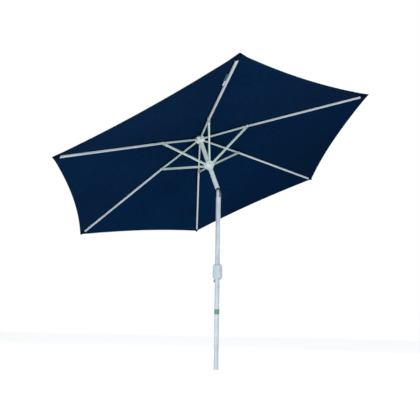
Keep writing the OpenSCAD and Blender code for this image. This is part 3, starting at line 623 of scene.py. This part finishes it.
# the sewn pocket that takes the rib's tip
pocket = {
    "from": 1.3262,
    "rows": [  # distance from its pole side, half width, low side and high side
        (0.0, 0.0140, -0.0044, 0.0055),
        (0.012, 0.0135, -0.0044, 0.0057),
        (0.030, 0.0115, -0.0038, 0.0059),
        (0.044, 0.0090, -0.0028, 0.0059),
        (0.0505, 0.0062, -0.0008, 0.0053),
    ],
    "ring": 20,
    "squareWide": 0.7,     # 1 gives an oval, less gives a box with round corners
    "squareHigh": 0.8,
    "stitchAt": 0.006,
    "stitchFar": 0.01,
}


def pocketRing(bm, seam, along, half, low, high):
    middle, tall = (low + high) / 2, (high - low) / 2
    ring = []
    for i in range(pocket["ring"]):
        a = 2 * math.pi * i / pocket["ring"]
        y = half * math.copysign(abs(math.cos(a)) ** pocket["squareWide"], math.cos(a))
        z = middle + tall * math.copysign(abs(math.sin(a)) ** pocket["squareHigh"], math.sin(a))
        vert = bm.verts.new((pocket["from"] - head["jointAt"] + along, y, z))
        vert[seam] = min(abs(along - pocket["stitchAt"]), pocket["stitchFar"])
        ring.append(vert)
    return ring


def pocketOf(k):
    bm = bmesh.new()
    seam = bm.verts.layers.float.new("seam")
    rings = [pocketRing(bm, seam, *row) for row in pocket["rows"]]
    for a, b in zip(rings, rings[1:]):
        for i in range(pocket["ring"]):
            j = (i + 1) % pocket["ring"]
            bm.faces.new((a[i], a[j], b[j], b[i]))
    for ring in (rings[0], rings[-1]):
        for edge in bm.faces.new(ring).edges:
            edge.smooth = False
    bmesh.ops.recalc_face_normals(bm, faces=bm.faces[:])
    uv = bm.loops.layers.uv.new("cloth")
    for face in bm.faces:
        for loop in face.loops:
            loop[uv].uv = (loop.vert.co.y + loop.vert.co.z, loop.vert.co.x)
    bm.transform(outerMatrix(k))
    return makePiece(f"tipPocket_{k}", bm, finishes["pocket"], f"rib_{k}")


for k in ribIndex:
    gore, over, caught = goreOf(k), ventOf(k), pocketOf(k)
    trims = [hemOf(k), ribSeamOf(k), caught]
    for piece in [gore, over] + trims:
        if piece is not caught:
            gatherWith(piece, (vent if piece is over else canopy)["gather"])
print("canopy made")


# crown: the round patch between hub and finial, in the head's own frame
crown = {
    "under": [(0.0055, 0.5351), (0.0435, 0.5351), (0.0438, 0.5376)],  # round the hub's top
    "overVent": (0.5376, 0.5390),  # low and high side at the vent's inner edge
    "edge": 0.060,
    "gap": 0.0014,
    "thickness": 0.0012,
    "lip": 0.0004,
    "over": [(0.030, 0.5396), (0.0055, 0.5395)],
    "steps": 72,
}


def crownPatch():
    edge, thick = crown["edge"], crown["thickness"]
    low = ventSpot(edge, 0).z + crown["gap"]
    ventLow, ventHigh = crown["overVent"]
    profile = crown["under"] + [(vent["inner"], ventLow), (edge, low),
                                (edge + crown["lip"], low + thick / 2), (edge, low + thick),
                                (vent["inner"], ventHigh)] + crown["over"]
    bm = bmesh.new()
    verts = [bm.verts.new((r, 0, z)) for r, z in profile]
    edges = [bm.edges.new(pair) for pair in zip(verts, verts[1:])]
    edges.append(bm.edges.new((verts[-1], verts[0])))
    bmesh.ops.spin(bm, geom=verts + edges, axis=(0, 0, 1), cent=(0, 0, 0), angle=2 * math.pi,
                   steps=crown["steps"], use_merge=True)
    bmesh.ops.remove_doubles(bm, verts=bm.verts[:], dist=1e-6)
    bmesh.ops.recalc_face_normals(bm, faces=bm.faces[:])
    bm.transform(headMatrix)
    piece = makePiece("crownPatch", bm, finishes["cloth"], "head")
    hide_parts("crown_patch")


crownPatch()
print("crown made")


# lift cord: up the pole, past the tilt pin, half round the pulley and down to the runner
cord = {
    "radius": 0.0015,
    "sides": 12,
    "x": -0.0098,          # it runs beside the tilt pin
    "bottom": 0.7395,
    "bend": 1.400,
    "start": 0.008,        # above the tilt pin
    "wrap": 0.0098,        # radius of the turn on the pulley
    "pulleyY": 0.014,
    "pulleyZ": 0.480,
    "leave": 0.0003,       # it leaves the pulley this far below the axle
    "intoRunner": 0.008,
}


def tubeAlong(name, points, body):
    bm = bmesh.new()
    ring = bmesh.ops.create_circle(bm, cap_ends=True, radius=cord["radius"],
                                   segments=cord["sides"])["verts"]
    direction = (points[1] - points[0]).normalized()
    turn = direction.to_track_quat("Z", "Y")
    bmesh.ops.rotate(bm, verts=ring, cent=(0, 0, 0), matrix=turn.to_matrix())
    bmesh.ops.translate(bm, verts=ring, vec=points[0])
    faces = bm.faces[:]
    for i in range(1, len(points)):
        ahead = points[min(i + 1, len(points) - 1)] - points[i - 1]
        new = bmesh.ops.extrude_face_region(bm, geom=faces)["geom"]
        if i > 1:  # the first cap stays as the tube's end
            bmesh.ops.delete(bm, geom=faces, context="FACES_ONLY")
        verts = [g for g in new if isinstance(g, bmesh.types.BMVert)]
        faces = [g for g in new if isinstance(g, bmesh.types.BMFace)]
        bmesh.ops.translate(bm, verts=verts, vec=points[i] - points[i - 1])
        swing = direction.rotation_difference(ahead.normalized())
        bmesh.ops.rotate(bm, verts=verts, cent=points[i], matrix=swing.to_matrix())
        direction = ahead.normalized()
    bmesh.ops.recalc_face_normals(bm, faces=bm.faces[:])
    uv = bm.loops.layers.uv.new("cloth")
    for face in bm.faces:
        for loop in face.loops:
            co = loop.vert.co
            loop[uv].uv = (co.x + co.y, co.z)
    return makePiece(name, bm, finishes["cord"], body)


def cordRun(name, node, points, body):
    piece = tubeAlong(name, points, body)
    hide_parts(node)
    return piece


poleLength = cord["bend"] - cord["bottom"]
lower = [Vector((cord["x"], 0, cord["bottom"] + poleLength * i / 4)) for i in range(5)]
cordRun("cordLower", "lift_cord_lower", lower, "pole")

onPulley = Vector((0, cord["pulleyY"] - cord["wrap"], cord["pulleyZ"]))
rise = [Vector((cord["x"], 0, cord["start"])).lerp(onPulley, i / 6) for i in range(7)]
wrap = [Vector((0, cord["pulleyY"] - cord["wrap"] * math.cos(a),
                cord["pulleyZ"] + cord["wrap"] * math.sin(a)))
        for a in [math.pi * i / 16 for i in range(1, 17)]]
cordRun("cordUpper", "lift_cord_upper", [headMatrix @ p for p in rise + wrap], "head")

tailTop = cord["pulleyZ"] - cord["leave"]
tailEnd = head["runnerTop"] - cord["intoRunner"]
tailY = cord["pulleyY"] + cord["wrap"]
tail = [headMatrix @ Vector((0, tailY, tailTop + (tailEnd - tailTop) * i / 10)) for i in range(11)]
piece = cordRun("cordTail", "lift_cord_tail", tail, None)
tuple(tail[1])
tuple(tail[-1])
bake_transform(piece)
print("lift cord made")


springs = {  # joint that shortens each one, the end that stays, and how much is left of it
    "tilt_spring": {"joint": "tilt_button_press", "end": -0.0049, "keep": 0.47},
    "snap_spring": {"joint": "snap_press", "end": -0.0152, "keep": 0.85},
}
for name, spring in springs.items():
    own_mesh(nodes[name])
print("springs set")


# closing strap: a loop of webbing that hangs from a pale tab, beside the outer rib
strap = {
    "rib": 6,
    "at": 1.060,
    "length": 0.095,
    "width": 0.014,
    "gap": 0.0045,
    "height": 0.0013,
    "rise": 0.0008,
    "ripple": 5,
    "band": 0.0050,        # width of the loop's two long sides
    "endBand": 0.006,
    "overlap": 0.004,
    "thickness": 0.0016,
    "tabLength": 0.063,
    "tabWidth": 0.0143,
    "tabGap": 0.0003,
    "tabLow": 0.0030,      # both below the loop
    "tabHigh": 0.0017,
    "tabRipple": 2.4,
}


def strapPiece(name, finish, x, y, z, bend):  # x, y and z each run from a low to a high value
    bm = bmesh.new()
    bmesh.ops.create_grid(bm, x_segments=14, y_segments=4, size=0.5)
    low, high = Vector((x[0], y[0], z[0])), Vector((x[1], y[1], z[1]))
    uv = bm.loops.layers.uv.new("cloth")
    for vert in bm.verts:
        u, v = vert.co.x + 0.5, vert.co.y + 0.5
        vert.co = Vector((low.x + (high.x - low.x) * u, low.y + (high.y - low.y) * v,
                          low.z + (high.z - low.z) * (0.5 + 0.5 * math.sin(bend(u, v)))))
        for loop in vert.link_loops:
            loop[uv].uv = (vert.co.x, vert.co.y)
    bm.transform(outerMatrix(strap["rib"]))
    piece = makePiece(name, bm, finishes[finish], f"rib_{strap['rib']}")
    solid = piece.modifiers.new("thickness", "SOLIDIFY")
    solid.thickness = strap["thickness"]
    solid.offset = 0
    return piece


loopStart = strap["at"] - head["jointAt"]
loopEnd = loopStart + strap["length"]
ribSide = -head["outerWidth"] / 2
inner, outer = ribSide - strap["gap"], ribSide - strap["gap"] - strap["width"]
loopRise = (strap["height"], strap["height"] + strap["rise"])
loopLength = (loopStart - strap["overlap"], loopEnd - strap["overlap"])
bands = [strapPiece(name, "webbing", loopLength, (edge, edge + strap["band"]), loopRise,
                    lambda u, v: strap["ripple"] * u)
         for name, edge in (("tieLoop", outer), ("tieLoopInner", inner - strap["band"]))]
strapPiece("tieLoopEnd", "webbing", (loopEnd - strap["endBand"], loopEnd), (outer, inner), loopRise,
           lambda u, v: strap["ripple"])
tabEdge = ribSide - strap["tabGap"]
strapPiece("tieTab", "tab", (loopStart - strap["tabLength"], loopStart + strap["overlap"]),
           (tabEdge - strap["tabWidth"], tabEdge),
           (strap["height"] - strap["tabLow"], strap["height"] - strap["tabHigh"]),
           lambda u, v: strap["tabRipple"] * u + v)
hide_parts("tie_strap")
print("strap made")


# floor, light and camera
studio = {
    "ambient": 0.62,
    "ambientColour": (0.93, 0.96, 1.0, 1),
    "floorSize": 40,
    "floorTones": ((0.80, 0.80, 0.80, 1), (0.82, 0.82, 0.82, 1)),
    "floorGlow": 0.45,
    "lamps": [
        {"name": "keySoft", "power": 110, "size": 3.0, "at": (-2.2, -4.2, 3.4), "aim": (0, 0, 1.2)},
        {"name": "lowFill", "power": 110, "size": 2.6, "at": (0.3, -4.2, 0.5), "aim": (0, 0, 1.7)},
        {"name": "sideSoft", "power": 45, "size": 3.0, "at": (4.0, -1.6, 1.4), "aim": (0, 0, 1.2)},
        {"name": "backSoft", "power": 60, "size": 3.0, "at": (0.5, 4.5, 3.0), "aim": (0, 0, 1.5)},
    ],
}


def paleFloor():  # it glows a little for the camera and in reflections only
    material, shader = newMaterial("paleFloor", 0.9)
    shader.inputs["Specular IOR Level"].default_value = 0.1
    tone = rampOf(material, noiseOf(material, objectCoords(material), scale=1.5), 0.2, 0.8)
    link(material, mixColours(material, tone, *studio["floorTones"]), shader.inputs["Base Color"])
    glow = addNode(material, "ShaderNodeEmission", Strength=studio["floorGlow"])
    bright = addNode(material, "ShaderNodeAddShader")
    link(material, shader.outputs[0], bright.inputs[0])
    link(material, glow.outputs[0], bright.inputs[1])
    path = addNode(material, "ShaderNodeLightPath").outputs
    seen = mathNode(material, "MAXIMUM", path["Is Camera Ray"], path["Is Glossy Ray"])
    mixShaders(material, seen, shader.outputs[0], bright.outputs[0],
               material.node_tree.nodes["Material Output"].inputs[0])
    return material


def whiteBackdrop():  # white for the camera, in reflections and through clear parts, else soft light
    world = bpy.data.worlds.new("studio")
    bpy.context.scene.world = world
    world.use_nodes = True
    world.node_tree.nodes.clear()
    output = addNode(world, "ShaderNodeOutputWorld")
    soft = addNode(world, "ShaderNodeBackground", Color=studio["ambientColour"],
                   Strength=studio["ambient"])
    white = addNode(world, "ShaderNodeBackground", Color=(1, 1, 1, 1), Strength=1.0)
    path = addNode(world, "ShaderNodeLightPath").outputs
    seen = mathNode(world, "MAXIMUM", path["Is Camera Ray"], path["Is Glossy Ray"])
    seen = mathNode(world, "MAXIMUM", seen, path["Is Transmission Ray"])
    mixShaders(world, seen, soft.outputs[0], white.outputs[0], output.inputs[0])


def makeStudio():
    bm = bmesh.new()
    bmesh.ops.create_grid(bm, x_segments=2, y_segments=2, size=studio["floorSize"])
    floor = makePiece("floor", bm, paleFloor(), None, smooth=False)
    whiteBackdrop()
    for lamp in studio["lamps"]:
        data = bpy.data.lights.new(lamp["name"], "AREA")
        data.energy, data.size = lamp["power"], lamp["size"]
        light = bpy.data.objects.new(lamp["name"], data)
        bpy.context.scene.collection.objects.link(light)
        light.location = lamp["at"]
        aim = Vector(lamp["aim"]) - Vector(lamp["at"])
        light.rotation_euler = aim.to_track_quat("-Z", "Y").to_euler()


makeStudio()

view = {
    "position": (1.32817, -3.43721, 0.26403),
    "azimuth": 22.17,
    "elevation": -14.90,
    "roll": 1.082,
    "lens": 39.80,
    "sensor": 36.0,
    "clip": (0.05, 200),
}


def makeCamera():
    data = bpy.data.cameras.new("camera")
    data.lens, data.sensor_width = view["lens"], view["sensor"]
    data.clip_start, data.clip_end = view["clip"]
    camera = bpy.data.objects.new("camera", data)
    bpy.context.scene.collection.objects.link(camera)
    azimuth, elevation, roll = (math.radians(view[key]) for key in ("azimuth", "elevation", "roll"))
    right = Vector((math.cos(azimuth), math.sin(azimuth), 0))
    back = Vector((math.sin(azimuth) * math.cos(elevation),
                   -math.cos(azimuth) * math.cos(elevation), math.sin(elevation)))
    up = back.cross(right)
    x = right * math.cos(roll) + up * math.sin(roll)
    y = up * math.cos(roll) - right * math.sin(roll)
    turn = Matrix((x, y, back)).transposed().to_4x4()
    camera.matrix_world = Matrix.Translation(view["position"]) @ turn
    bpy.context.scene.camera = camera


makeCamera()
bpy.context.scene.view_settings.view_transform = "Standard"
print("studio and camera made")
